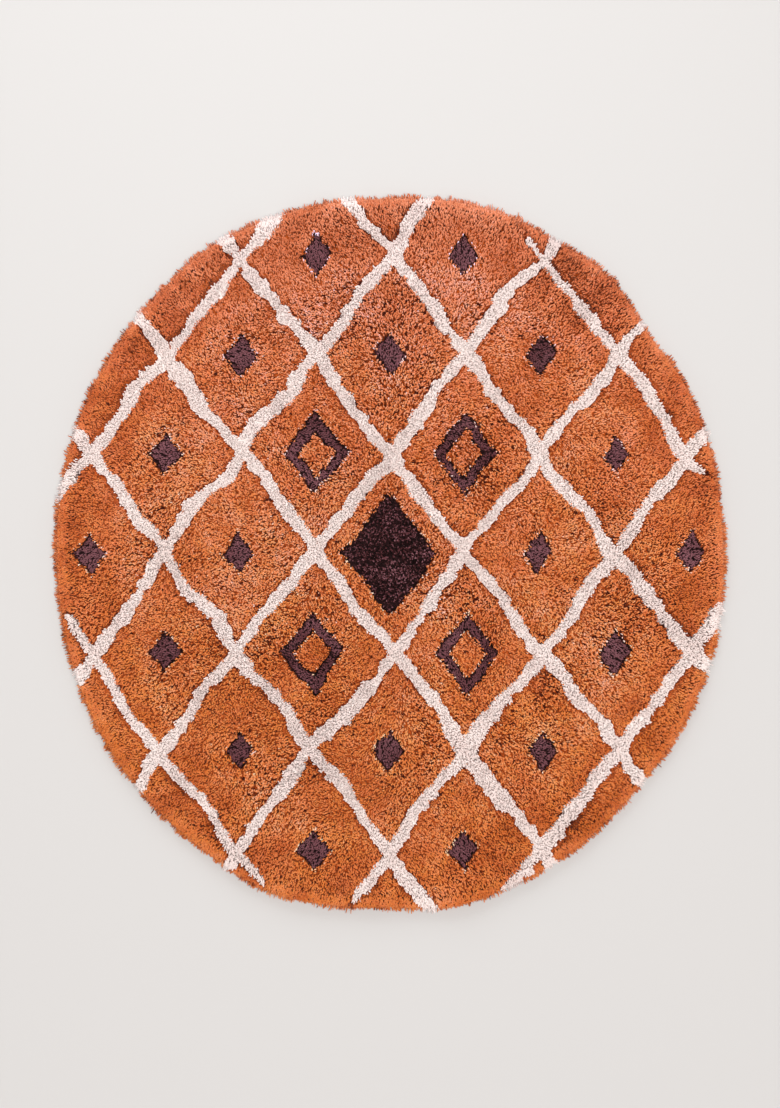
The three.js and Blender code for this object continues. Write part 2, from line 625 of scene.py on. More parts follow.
class Coat(Shader):
    """A new material that is put together round its Principled shader."""

    def __init__(self, name: str) -> None:
        """Starts the material.

        Args:
            name: Its name.
        """
        self.material = bpy.data.materials.new(name)
        self.material.use_nodes = True
        super().__init__(self.material.node_tree)

    def bump(self, height: Socket, strength: float, distance: float) -> Socket:
        """Gives the normal of a bump."""
        made = self.fill(self.node("ShaderNodeBump"), Strength=strength, Distance=distance, Height=height)
        return made.outputs[0]

    def finish(self, **inputs: object) -> Material:
        """Feeds the surface's own sockets by name, with _ for a space, and gives the material."""
        self.fill(self.tree.nodes["Principled BSDF"], **inputs)
        return self.material


def new_group(name: str, inputs: dict[str, float], outputs: tuple[str, ...]) -> tuple[Shader, Node, Node]:
    """Starts a shader group with named inputs and outputs.

    Args:
        name: The group's name.
        inputs: Its inputs and their usual values.
        outputs: Its outputs.

    Returns:
        The group's shader, its input node and its output node.
    """
    tree = bpy.data.node_groups.new(name, "ShaderNodeTree")
    for label, usual in inputs.items():
        socket = tree.interface.new_socket(name=label, in_out="INPUT", socket_type="NodeSocketFloat")
        socket.default_value = usual
    for label in outputs:
        tree.interface.new_socket(name=label, in_out="OUTPUT", socket_type="NodeSocketFloat")
    shader = Shader(tree)
    return shader, shader.node("NodeGroupInput"), shader.node("NodeGroupOutput")


@dataclass(frozen=True)
class SpunYarn:
    """The plies and fibres of a yarn end, which are read from its own map.

    The map has a column for each tone of the dye. Across a column lies the way round the yarn,
    and up it the way from root to tip.
    """

    plies: int = 2
    twists: float = 3.0  # Turns along a yarn end
    fibre_depth: float = 0.25
    fibre_course: tuple[float, float, float] = (9.0, 2.5, 3.7)  # Round the yarn, along it, and by tone
    fibre_scale: float = 1.6
    fibre_detail: float = 4.0
    fibre_height: float = 0.6
    ply_height: float = 0.4

    def group(self) -> Tree:
        """Makes the shader group.

        Returns:
            The group, with the tone, the painted shade of its plies and fibres, the height for a bump and
            the way along.
        """
        inputs = {"Twist depth": 0.3, "Columns": float(TONE_COLUMNS), "Twists": self.twists}
        inputs["Fibre depth"] = self.fibre_depth
        shader, given, result = new_group("Spun yarn", inputs, ("Tone", "Shade", "Height", "Along"))
        maths = shader.maths
        across, along, _ = shader.parts(shader.node("ShaderNodeUVMap", uv_map=ATLAS_MAP).outputs[0])
        counted = maths("MULTIPLY", across, given.outputs["Columns"])
        column = maths("FLOOR", counted)
        around = maths("FRACT", counted)
        tone = maths("DIVIDE", column, maths("SUBTRACT", given.outputs["Columns"], 1.0))
        course = maths("ADD", maths("MULTIPLY", along, given.outputs["Twists"]), around)
        turns = maths("MULTIPLY", course, self.plies * math.tau)
        plies = maths("MULTIPLY_ADD", maths("SINE", turns), 0.5, 0.5)
        ways = zip((around, along, column), self.fibre_course)
        stretched = shader.vector(*(maths("MULTIPLY", way, fineness) for way, fineness in ways))
        fibres = shader.noise(stretched, self.fibre_scale, self.fibre_detail)
        # Painted shade that follows the bump: darker in the grooves between the plies and in the fibres'
        # hollows, lighter on their crests
        dim_plies = maths("MULTIPLY", maths("SUBTRACT", 1.0, plies), given.outputs["Twist depth"])
        dim_fibres = maths("MULTIPLY", maths("SUBTRACT", 0.5, fibres), given.outputs["Fibre depth"])
        shade = maths("SUBTRACT", maths("SUBTRACT", 1.0, dim_plies), dim_fibres)
        ridges = maths("MULTIPLY", plies, self.ply_height)
        height = maths("MULTIPLY_ADD", fibres, self.fibre_height, ridges)
        shader.fill(result, Tone=tone, Shade=shade, Height=height, Along=along)
        return shader.tree


def mottle_group() -> Tree:
    """Makes the group for soft uneven patches, which reads the piece's own coordinates.

    Returns:
        The group, with a patch mask between 0 and 1 and a fine grain.
    """
    inputs = {"Patch scale": 20.0, "Grain scale": 400.0}
    shader, given, result = new_group("Soft mottle", inputs, ("Patch", "Grain"))
    place = shader.place()
    for label in ("Patch", "Grain"):
        grain = shader.noise(place, given.outputs[f"{label} scale"], MOTTLE_DETAIL)
        shader.feed(result.inputs[label], grain)
    return shader.tree


@dataclass(frozen=True)
class YarnFinish:
    """A dyed cotton yarn, with painted shade towards its roots and in its plies' grooves."""

    name: str
    stops: tuple[tuple[float, Colour], ...]  # From its darkest to its lightest end
    root_shade: float = 0.42  # The share of the colour that is left at the root
    shaded: Span = (0.1, 0.85)  # The ways along between which that fades
    twist_depth: float = 0.14
    bump_strength: float = 0.5
    bump_height: float = 0.6 * MILLIMETRE
    height_range: Span = (0.2, 0.8)  # Between which the roughness changes
    roughness: Span = (0.95, 0.8)
    sheen: float = 0.07
    sheen_roughness: float = 0.5
    gloss: float = 0.08
    golden: Colour = PLAIN  # What the dye is multiplied by where it is most golden
    reddish: Colour = (0.96, 0.95, 0.95, 1.0)
    top_sheen_haze: Colour = (0.98, 0.97, 0.98, 1.0)  # A painted sheen: the pale, pinkish haze of the window light that the hue takes on towards the rug's top
    top_sheen_range: Span = (0.30, 0.62)  # Places along the rug between which that painted sheen fades in
    hue_scales: Span = (16.0, 75.0)  # Of its patches and of its specks
    hue_range: Span = (0.38, 0.62)
    hue_unevenness: float = 0.45
    painted_haze_range: Span = (-0.25, 0.60)  # Places along the rug between which a painted haze of the window light turns the hue redder, towards the top
    painted_haze_change: float = 0.55

    def material(self, yarn_group: Tree, mottle: Tree) -> Material:
        """Makes the material.

        Args:
            yarn_group: The group that reads a yarn end's map.
            mottle: The group for soft uneven patches.

        Returns:
            The material.
        """
        coat = Coat(self.name)
        yarn = coat.group(yarn_group, Twist_depth=self.twist_depth)
        height = yarn.outputs["Height"]
        along = coat.parts(coat.place())[1]
        # Painted light: towards the rug's top the hue turns redder and paler, a painted sheen haze of the
        # window light, and the dye below carries it
        hue_and_haze = coat.mixed(self.hue(coat, mottle, along), self.golden, self.reddish)
        hue_and_haze = coat.mixed(coat.scaled(along, *self.top_sheen_range, 0.0, 1.0), hue_and_haze, self.top_sheen_haze)
        dye = coat.mixed(1.0, coat.ramp(yarn.outputs["Tone"], self.stops), hue_and_haze, "MULTIPLY")
        # Painted shade: each end darkens towards its root, where the pile's shade falls, and takes the
        # yarn's painted ply and fibre shade
        depth = coat.scaled(yarn.outputs["Along"], *self.shaded, self.root_shade, 1.0)
        shade = coat.maths("MULTIPLY", depth, yarn.outputs["Shade"])
        return coat.finish(
            Base_Color=coat.mixed(shade, BLACK, dye),
            Normal=coat.bump(height, self.bump_strength, self.bump_height),
            Roughness=coat.scaled(height, *self.height_range, *self.roughness),
            Sheen_Weight=self.sheen,
            Sheen_Roughness=self.sheen_roughness,
            Specular_IOR_Level=self.gloss,
        )

    def hue(self, coat: Coat, mottle: Tree, along: Socket) -> Socket:
        """Gives the hue, from golden at 0 to reddish at 1: uneven patches, and a painted haze of light
        that turns it redder towards the rug's top.

        Args:
            coat: The material that is being made.
            mottle: The group for soft uneven patches.
            along: The place along the rug.

        Returns:
            The hue.
        """
        patch_scale, speck_scale = self.hue_scales
        patches = coat.group(mottle, Patch_scale=patch_scale, Grain_scale=speck_scale)
        blend = coat.mixed(0.5, patches.outputs["Patch"], patches.outputs["Grain"])
        uneven = coat.scaled(blend, *self.hue_range, 0.0, self.hue_unevenness)
        return coat.maths("ADD", uneven, coat.scaled(along, *self.painted_haze_range, 0.0, self.painted_haze_change))


RUST_YARN = YarnFinish(
    "rust_yarn",
    (
        (0.0, dyed(64, 10, 0)),
        (0.22, dyed(199, 98, 42)),
        (0.5, dyed(230, 136, 74)),
        (0.76, dyed(236, 167, 118)),
        (1.0, dyed(248, 216, 190)),
    ),
    golden=(0.99, 0.98, 0.76, 1.0),
    reddish=(1.03, 1.00, 1.64, 1.0),
    # Painted sheen haze of the window light towards the rug's top
    top_sheen_haze=(1.04, 1.22, 2.35, 1.0),
)
CREAM_YARN = YarnFinish(
    "cream_yarn",
    ((0.0, dyed(166, 140, 134)), (0.45, dyed(241, 222, 216)), (1.0, dyed(252, 244, 240))),
    root_shade=0.68,
    twist_depth=0.08,
)
BROWN_YARN = YarnFinish(
    "brown_yarn",
    ((0.0, dyed(22, 3, 2)), (0.5, dyed(94, 49, 52)), (1.0, dyed(150, 100, 108))),
    root_shade=0.5,
    sheen=0.04,
    gloss=0.05,
)


@dataclass(frozen=True)
class BedFinish:
    """The low pile between the yarn ends, its rust and brown darkened by painted shade, and darker still
    in the gaps between its tufts and beside cream yarn.
    """

    rust: tuple[Colour, Colour] = (dyed(124, 40, 8), dyed(196, 88, 32))
    smooth_rust: Colour = dyed(208, 98, 42)  # Where the pile isn't tousled
    cream: tuple[Colour, Colour] = (dyed(224, 210, 204), dyed(248, 237, 232))
    brown: tuple[Colour, Colour] = (dyed(22, 9, 9), dyed(64, 36, 38))
    patch_scale: float = 260.0
    grain_scale: float = 900.0
    cream_shadow: Span = (0.0015, 0.0048)  # The distances from cream yarn between which it fades
    shadow_share: float = 0.9
    edge_blur: float = 0.0004  # How far each way the yarns' edges are blurred
    tufts_per_metre: float = 400.0
    gap_width: float = 0.30  # As the tufts' pattern counts it
    gap_shade: float = 0.44  # The share of the colour that is left there
    cream_gap_shade: float = 0.92
    bump_strength: float = 0.8
    bump_height: float = 2 * MILLIMETRE
    grain_share: float = 0.4  # Of the bump's height
    roughness: Span = (1.0, 0.9)  # In the grain's hollows and on its grains
    gloss: float = 0.1

    def material(self, mottle: Tree) -> Material:
        """Makes the material, which reads how far each point is from the cream and brown yarn.

        Args:
            mottle: The group for soft uneven patches.

        Returns:
            The material.
        """
        coat = Coat("low_pile")
        patches = coat.group(mottle, Patch_scale=self.patch_scale, Grain_scale=self.grain_scale).outputs
        rust, cream, brown = (
            coat.mixed(patches["Patch"], *pair) for pair in (self.rust, self.cream, self.brown)
        )
        rust = coat.mixed(coat.mark("ragged"), self.smooth_rust, rust)
        away = (coat.mark("to_cream"), coat.mark("to_brown"))
        beside = coat.scaled(away[0], *self.cream_shadow, self.shadow_share, 0.0)
        rust = coat.mixed(beside, rust, self.rust[0])
        blur = (-self.edge_blur, self.edge_blur)
        in_cream, in_brown = (coat.scaled(distance, *blur, 1.0, 0.0) for distance in away)
        colour = coat.mixed(in_brown, coat.mixed(in_cream, rust, cream), brown)
        tufts = coat.node("ShaderNodeTexVoronoi", feature="DISTANCE_TO_EDGE")
        coat.fill(tufts, Vector=coat.place(), Scale=self.tufts_per_metre)
        lowest = coat.scaled(in_cream, 0.0, 1.0, self.gap_shade, self.cream_gap_shade)
        shade = coat.scaled(tufts.outputs["Distance"], 0.0, self.gap_width, lowest, 1.0, "SMOOTHSTEP")
        height = coat.mixed(self.grain_share, shade, patches["Grain"])
        return coat.finish(
            Base_Color=coat.mixed(shade, BLACK, colour),
            Normal=coat.bump(height, self.bump_strength, self.bump_height),
            Roughness=coat.scaled(patches["Grain"], *NOISE_RANGE, *self.roughness),
            Specular_IOR_Level=self.gloss,
        )


@dataclass(frozen=True)
class CanvasFinish:
    """The plain-woven cotton of the backing."""

    thread_pitch: float = 0.0022
    thread_rise: float = 0.7  # Where a thread has its full colour; lower down, towards the gaps and under the crossing threads, painted shade darkens it to the dark colour
    light: Colour = dyed(214, 200, 176)
    # Serves both the soiled patches and the painted shade between threads
    dark: Colour = dyed(150, 134, 110)
    patch_scale: float = 9.0
    grain_scale: float = 700.0
    soiled_range: Span = (0.35, 0.75)
    soiled_most: float = 0.35
    bump_strength: float = 0.7
    bump_height: float = 0.8 * MILLIMETRE
    roughness: Span = (0.95, 0.85)
    gloss: float = 0.2

    def material(self, mottle: Tree) -> Material:
        """Makes the material.

        Args:
            mottle: The group for soft uneven patches.

        Returns:
            The material.
        """
        coat = Coat("cotton_canvas")
        maths = coat.maths
        across, along, _ = coat.parts(coat.place())
        per_thread = math.pi / self.thread_pitch
        waves = [maths("SINE", maths("MULTIPLY", way, per_thread)) for way in (across, along)]
        over = maths("MULTIPLY_ADD", maths("MULTIPLY", *waves), 0.5, 0.5)
        edge = maths("MINIMUM", *(maths("ABSOLUTE", wave) for wave in waves))
        height = maths("MULTIPLY", edge, maths("ADD", over, 0.5))
        patches = coat.group(mottle, Patch_scale=self.patch_scale, Grain_scale=self.grain_scale).outputs
        soil = coat.scaled(patches["Patch"], *self.soiled_range, 0.0, self.soiled_most)
        soiled = coat.mixed(soil, self.light, self.dark)
        # Painted shade: the weave's low parts take the dark colour
        threads = coat.scaled(height, 0.0, self.thread_rise, 0.0, 1.0)
        return coat.finish(
            Base_Color=coat.mixed(threads, self.dark, soiled),
            Normal=coat.bump(height, self.bump_strength, self.bump_height),
            Roughness=coat.scaled(patches["Grain"], *NOISE_RANGE, *self.roughness),
            Specular_IOR_Level=self.gloss,
        )


def placed(name: str, data: bpy.types.ID) -> Piece:
    """Puts a new object into the scene, at the origin.

    Args:
        name: The object's name.
        data: Its mesh, light or camera.

    Returns:
        The object.
    """
    made = bpy.data.objects.new(name, data)
    bpy.context.scene.collection.objects.link(made)
    return made


def in_order(mesh: bmesh.types.BMesh) -> None:
    """Sorts a bmesh by place, because an extrusion adds to it in another order at each run.

    Args:
        mesh: The bmesh.
    """
    mesh.verts.sort(key=lambda vertex: vertex.co.dot(SORTING_WAY))
    for elements in (mesh.edges, mesh.faces):
        elements.sort(key=lambda element: sum(vertex.co.dot(SORTING_WAY) for vertex in element.verts))


def finished(mesh: bmesh.types.BMesh, name: str, material: Material) -> Piece:
    """Turns a bmesh into a smooth, dressed object at the origin.

    Args:
        mesh: The bmesh, which is freed.
        name: The object's name.
        material: Its finish.

    Returns:
        The object.
    """
    bmesh.ops.recalc_face_normals(mesh, faces=mesh.faces)
    in_order(mesh)
    data = bpy.data.meshes.new(name)
    mesh.to_mesh(data)
    mesh.free()
    data.shade_smooth()
    data.materials.append(material)
    return placed(name, data)


def on_the_rug(piece: Piece) -> Piece:
    """Says that a piece rides on the rug and stands for its solid.

    Args:
        piece: The piece.

    Returns:
        The same piece.
    """
    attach(piece, ROOT_BODY)
    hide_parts(RUG_NODE)
    return piece


def disc(form: RugForm, cells: int, inset: float) -> bmesh.types.BMesh:
    """Makes an even grid of faces with the rug's outline.

    Args:
        form: The rug's form.
        cells: Faces along each side of the grid.
        inset: How far in from the rim its edge lies.

    Returns:
        The flat bmesh at the floor.
    """
    mesh = bmesh.new()
    bmesh.ops.create_grid(mesh, x_segments=cells, y_segments=cells, size=1.0)
    for vertex in mesh.verts:
        u, v = vertex.co.x, vertex.co.y
        x = u * math.sqrt(1 - v * v / 2)
        y = v * math.sqrt(1 - u * u / 2)
        bearing = math.degrees(math.atan2(y, x))
        reach = float(form.radius(np.array(bearing))) - inset
        vertex.co = (x * reach, y * reach, 0.0)
    return mesh


@dataclass
class Backing:
    """The woven cloth that the yarn is tufted through."""

    form: RugForm
    thickness: float = 0.0028
    inset: float = 0.009
    cells: int = 32
    area_steps: int = 720  # Steps round the rim in which its area is counted

    def build(self) -> bmesh.types.BMesh:
        """Makes the flat cloth with its thickness.

        Returns:
            Its bmesh.
        """
        mesh = disc(self.form, self.cells, self.inset)
        made = bmesh.ops.extrude_face_region(mesh, geom=mesh.faces[:])
        top = [item for item in made["geom"] if isinstance(item, bmesh.types.BMVert)]
        bmesh.ops.translate(mesh, verts=top, vec=(0.0, 0.0, self.thickness))
        return mesh

    def dress(self, mottle: Tree) -> Piece:
        """Builds the cloth and gives it its finish."""
        return on_the_rug(finished(self.build(), "backing", CanvasFinish().material(mottle)))

    def area(self) -> float:
        """Measures the cloth, laid flat.

        Returns:
            Its area in square metres.
        """
        bearing = np.linspace(0, 360, self.area_steps, endpoint=False)
        reach = self.form.radius(bearing) - self.inset
        return float(0.5 * np.sum(reach * reach) * math.radians(360 / self.area_steps))


@dataclass
class PileBed:
    """The low, dense part of the pile, under the standing ends."""

    form: RugForm
    pattern: TrellisPattern
    ragged: Raggedness = Raggedness()
    depth: float = 0.0038  # Under the pile's top, where that is smooth
    ragged_depth: float = 0.0020  # How much deeper where it is tousled
    brown_drop: float = 0.0030
    brown_slope: float = 0.004
    lumps: Layers = (SmoothField(0.013, 31, 0.0009), SmoothField(0.0065, 32, 0.0008))
    cells: int = 170
    rim_inset: float = 0.0095
    lift: float = 0.0026  # The height of its foot, on the backing
    section_inset: tuple[float, ...] = (0.0095, 0.013, 0.020, 0.034)
    section_share: tuple[float, ...] = (0.25, 0.62, 0.88, 1.0)

    def height(self, x: Array, y: Array) -> Array:
        """Gives the height of the bed's top.

        Args:
            x, y: The places.

        Returns:
            The height at each place.
        """
        share = np.interp(self.form.inset(x, y), self.section_inset, self.section_share)
        full = self.form.height + self.form.waviness(x, y) - self.depth
        full = full - self.ragged_depth * self.ragged.at(x, y)
        full = full - self.brown_drop * eased(0.5 - self.pattern.to_brown(x, y) / self.brown_slope)
        return share * full + layered(self.lumps, x, y)

    def build(self) -> bmesh.types.BMesh:
        """Makes the bed with its rounded rim and flat foot.

        Returns:
            Its bmesh.
        """
        mesh = disc(self.form, self.cells, self.rim_inset)
        places = np.array([vertex.co[:] for vertex in mesh.verts])
        heights = self.height(places[:, 0], places[:, 1])
        for vertex, height in zip(mesh.verts, heights):
            vertex.co.z = height
        border = [edge for edge in mesh.edges if edge.is_boundary]
        made = bmesh.ops.extrude_edge_only(mesh, edges=border)
        foot = [item for item in made["geom"] if isinstance(item, bmesh.types.BMVert)]
        for vertex in foot:
            vertex.co.z = self.lift
        bmesh.ops.contextual_create(mesh, geom=[edge for edge in mesh.edges if edge.is_boundary])
        return mesh

    def dress(self, mottle: Tree) -> Piece:
        """Builds the bed, marks where its yarns lie and gives it its finish.

        Args:
            mottle: The group for soft uneven patches.

        Returns:
            The bed.
        """
        made = finished(self.build(), "pile_bed", BedFinish().material(mottle))
        data = made.data
        places = np.empty(len(data.vertices) * 3)
        data.vertices.foreach_get("co", places)
        x, y = places.reshape(-1, 3)[:, :2].T
        marks = {"to_cream": self.pattern.to_cream, "to_brown": self.pattern.to_brown}
        marks["ragged"] = self.ragged.at
        for name, measure in marks.items():
            mark = data.attributes.new(name, "FLOAT", "POINT")
            mark.data.foreach_set("value", measure(x, y).astype(np.float32))
        return on_the_rug(made)


@dataclass
class YarnEnds:
    """Yarn ends, with a row in each array for each of them."""

    root: Array
    knee: Array  # The point that it bends towards
    tip: Array
    width: Array
    roll: Array  # Round its own axis
    tone: Array  # From 0 to 1
    yarn: Array

    def only(self, keep: Array) -> "YarnEnds":
        """Gives the yarn ends that a mask or a list of rows keeps."""
        return YarnEnds(*(part[keep] for part in vars(self).values()))


@dataclass(frozen=True)
class YarnMesher:
    """Turns yarn ends into one joined mesh of closed strands, thin at the root and cut off at the tip."""

    sides: int = 3
    stations: tuple[float, ...] = (1.0,)  # Where along it the rings lie, the last one at the tip
    girth: tuple[float, ...] = (1.0,)  # The share of its width at each ring
    margin: float = 0.12  # The part of its map's column that is left free at each side
    cut_end: float = 0.97  # Where the cut end lies on the map
    lowest: float = 0.0001

    def faces(self) -> tuple[Array, Array, Array]:
        """Gives one strand's pattern of faces.

        Returns:
            The strand's points at each corner, the corners' places on its map, and the faces' sizes.
        """
        corners: list[int] = []
        places: list[tuple[float, float]] = []
        sizes: list[int] = []
        root = self.sides * len(self.stations)
        for side in range(self.sides):
            left, right = side / self.sides, (side + 1) / self.sides
            beside = (side + 1) % self.sides
            corners += [root, beside, side]
            places += [((left + right) / 2, 0.0), (right, self.stations[0]), (left, self.stations[0])]
            sizes.append(3)
            for ring, (low, high) in enumerate(zip(self.stations, self.stations[1:])):
                near, far = ring * self.sides, (ring + 1) * self.sides
                corners += [near + side, near + beside, far + beside, far + side]
                places += [(left, low), (right, low), (right, high), (left, high)]
                sizes.append(4)
        corners += [root - self.sides + side for side in range(self.sides)]
        places += [(side / self.sides, 1.0 if side % 2 else self.cut_end) for side in range(self.sides)]
        sizes.append(self.sides)
        return np.array(corners), np.array(places), np.array(sizes)

    def points(self, ends: YarnEnds) -> Array:
        """Gives every strand's points along its bend.

        Args:
            ends: The yarn ends.

        Returns:
            The points of each strand's rings, and then its root.
        """
        way = np.array(self.stations)[None, :, None]
        root, knee, tip = (part[:, None, :] for part in (ends.root, ends.knee, ends.tip))
        centre = (1 - way) ** 2 * root + 2 * way * (1 - way) * knee + way**2 * tip
        course = (1 - way) * (knee - root) + way * (tip - knee)
        course /= np.linalg.norm(course, axis=-1, keepdims=True)
        lean = ends.tip - ends.root
        side = unit(np.stack([-lean[:, 1], lean[:, 0], np.zeros(len(lean))], axis=-1))
        side = np.broadcast_to(side[:, None, :], course.shape)
        up = np.cross(course, side)
        around = math.tau * np.arange(self.sides) / self.sides
        angle = (ends.roll[:, None] + around[None, :])[:, None, :, None]
        girth = np.array(self.girth)[None, :, None, None] * ends.width[:, None, None, None] / 2
        ring = np.cos(angle) * side[:, :, None, :] + np.sin(angle) * up[:, :, None, :]
        rings = centre[:, :, None, :] + girth * ring
        flat = rings.reshape(len(ends.root), -1, 3)
        flat[:, :, 2] = np.maximum(flat[:, :, 2], self.lowest)
        return np.concatenate([flat, ends.root[:, None, :]], axis=1)

    def mesh(self, name: str, ends: YarnEnds) -> bpy.types.Mesh:
        """Makes the joined mesh with its yarn map.

        Args:
            name: The mesh's name.
            ends: The yarn ends.

        Returns:
            The mesh.
        """
        corners, places, sizes = self.faces()
        points = self.points(ends)
        count, each = points.shape[:2]
        loops = (corners[None, :] + each * np.arange(count)[:, None]).ravel()
        starts = np.concatenate([[0], np.cumsum(np.tile(sizes, count))[:-1]])
        data = bpy.data.meshes.new(name)
        data.vertices.add(count * each)
        data.vertices.foreach_set("co", points.astype(np.float32).ravel())
        data.loops.add(len(loops))
        data.loops.foreach_set("vertex_index", loops.astype(np.int32))
        data.polygons.add(len(starts))
        data.polygons.foreach_set("loop_start", starts.astype(np.int32))
        column = np.floor(np.clip(ends.tone, 0, BELOW_ONE) * TONE_COLUMNS)
        across = self.margin + places[:, 0] * (1 - 2 * self.margin)
        u = (column[:, None] + across[None, :]) / TONE_COLUMNS
        v = np.broadcast_to(places[None, :, 1], u.shape)
        layer = data.uv_layers.new(name=ATLAS_MAP)
        layer.data.foreach_set("uv", np.stack([u, v], axis=-1).astype(np.float32).ravel())
        data.update(calc_edges=True)
        data.validate()
        data.shade_smooth()
        return data


@dataclass
class Chance:
    """Draws what differs by chance, in the same order at each run."""

    draws: np.random.Generator = field(default_factory=lambda: np.random.default_rng(PILE_SEED))

    def between(self, span: Span, count: Count) -> Array:
        """Draws evenly from a span."""
        return self.draws.uniform(*span, count)

    def spread(self, most: float, count: Count) -> Array:
        """Draws evenly from minus the most to the most."""
        return self.draws.uniform(-most, most, count)

    def turned(self, count: Count) -> Array:
        """Draws turns."""
        return self.draws.uniform(0, math.tau, count)

    def share(self, count: Count) -> Array:
        """Draws shares from 0 to 1."""
        return self.draws.uniform(0, 1, count)

    def either(self, first: Array, span: Span, other: Span) -> Array:
        """Draws from one span where a mask holds, and from the other one elsewhere."""
        return np.where(first, self.between(span, len(first)), self.between(other, len(first)))


@dataclass(frozen=True)
class Tufting:
    """The rows of tufts that are punched through the backing, across the rug."""

    row_pitch: float = 0.0053
    tuft_pitch: float = 0.0051
    row_wave: SmoothField = SmoothField(0.060, 41, 0.0022)
    jitter: Span = (0.3, 0.16)  # In pitches, along a row and across it
    beyond: float = 0.02  # How far past the rim the rows are laid out before they are trimmed
    slope_width: float = 0.024  # How far in from the rim there are twice as many tufts
    added: Span = (0.5, 0.4)  # Where those stand, in pitches
    foot_margin: float = 0.001

    def places(self, bed: PileBed, chance: Chance) -> tuple[Array, Array]:
        """Lays out the tufts.

        Args:
            bed: The low pile that they stand in.
            chance: Draws how far they stand off their places.

        Returns:
            Their places along X and along Y.
        """
        form = bed.form
        half_length = form.oval_length / 2 + self.beyond
        half_width = form.oval_width / 2 + self.beyond
        rows = np.arange(-half_length, half_length, self.row_pitch)
        steps = np.arange(-half_width, half_width, self.tuft_pitch)
        x, y = (part.ravel() for part in np.meshgrid(steps, rows))
        shift = (np.round((y + half_length) / self.row_pitch) % 2) * self.tuft_pitch / 2
        x = x + shift + chance.spread(self.jitter[0] * self.tuft_pitch, len(x))
        y = y + self.row_wave.at(x, y) + chance.spread(self.jitter[1] * self.row_pitch, len(y))
        on_slope = form.inset(x, y) < self.slope_width
        x = np.concatenate([x, x[on_slope] + self.added[0] * self.tuft_pitch])
        y = np.concatenate([y, y[on_slope] + self.added[1] * self.row_pitch])
        inside = form.inset(x, y) > bed.rim_inset + self.foot_margin
        return x[inside], y[inside]


@dataclass(frozen=True)
class PileLean:
    """The way that the pile leans: more across than along in the middle, and outwards near the rim."""

    swirls: Layers = (SmoothField(0.150, 51, 0.9), SmoothField(0.046, 52, 0.8))
    across_scale: float = 0.09  # How far from the middle line it leans well across
    along_share: float = 0.45
    along_scale: float = 0.25
    to_front: float = 0.12  # Towards -Y all over
    rim_zone: Band = Band(0.185, 0.070)
    rim_share: float = 1.5
    rim_swirl: float = 0.4

    def at(self, form: RugForm, x: Array, y: Array) -> Array:
        """Reads the lean.

        Args:
            form: The rug's form.
            x, y: The places.

        Returns:
            The bearing that the pile leans to at each place.
        """
        swirl = layered(self.swirls, x, y)
        along = self.along_share * np.tanh(y / self.along_scale) - self.to_front
        middle = headings(np.arctan2(along, np.tanh(x / self.across_scale)) + swirl)
        outwards = headings(np.arctan2(y, x) + self.rim_swirl * swirl)
        share = self.rim_zone.at(form.inset(x, y))[:, None]
        both = middle * (1 - share) + self.rim_share * share * outwards
        return np.arctan2(both[:, 1], both[:, 0])


@dataclass(frozen=True)
class YarnBorders:
    """How the pile stands where two yarns meet."""

    pattern: TrellisPattern
    pull_zone: Band = Band(0.009, 0.005)
    shadow_zone: Band = Band(0.0042, 0.0014)
    shadow_shares: Span = (0.45, 0.55)  # The least shadow, and how much more there is by the lean
    shadow_lean: Span = (0.55, 1.6)  # Its start, and its fall as the pile leans off the cream
    # A painted shadow just inside brown yarn, and painted highlights on a share of the tips just outside
    # it
    painted_shadow_edge: Band = Band(0.0040, 0.0020)
    painted_highlight_edge: Band = Band(0.0034, 0.0014)
    light_share: float = 0.18
    change: float = 0.60

    def towards_brown(self, x: Array, y: Array) -> Array:
        """Gives the level vector towards the nearest brown yarn, 1 long beside it and 0 away from it."""
        near = self.pull_zone.at(self.pattern.to_brown(x, y))
        return -slope(self.pattern.to_brown, x, y) / SLOPE_STEP * near[:, None]

    def cream_shadow(self, x: Array, y: Array, yarn: Array, lean: Array) -> Array:
        """Finds the rust pile that stands beside cream pile and leans away from it.

        Args:
            x, y: The places.
            yarn: The yarn at each of them.
            lean: The bearing that the pile leans to there.

        Returns:
            How much each place is in the cream pile's shadow, from 0 to 1.
        """
        along = np.sum(headings(lean) * self.pattern.away_from_cream(x, y), axis=-1)
        least, more = self.shadow_shares
        start, fall = self.shadow_lean
        shadow = (yarn == Yarn.RUST) * self.shadow_zone.at(self.pattern.to_cream(x, y))
        return shadow * (least + more * eased(start - fall * along))

    def brown_edges(self, x: Array, y: Array, yarn: Array, chance: Chance) -> Array:
        """Gives the change of tone along a brown area: a painted shadow just inside it, where the higher
        rust pile overhangs, and painted highlights on some tips just outside.

        Args:
            x, y: The places.
            yarn: The yarn at each of them.
            chance: Draws the tips with painted highlights.

        Returns:
            What is added to the tone.
        """
        off = self.pattern.to_brown(x, y)
        inside = (yarn == Yarn.BROWN) * self.painted_shadow_edge.at(-off)
        outside = (yarn != Yarn.BROWN) * self.painted_highlight_edge.at(off)
        light = chance.share(len(x)) < self.light_share
        return self.change * outside * light - self.change * inside


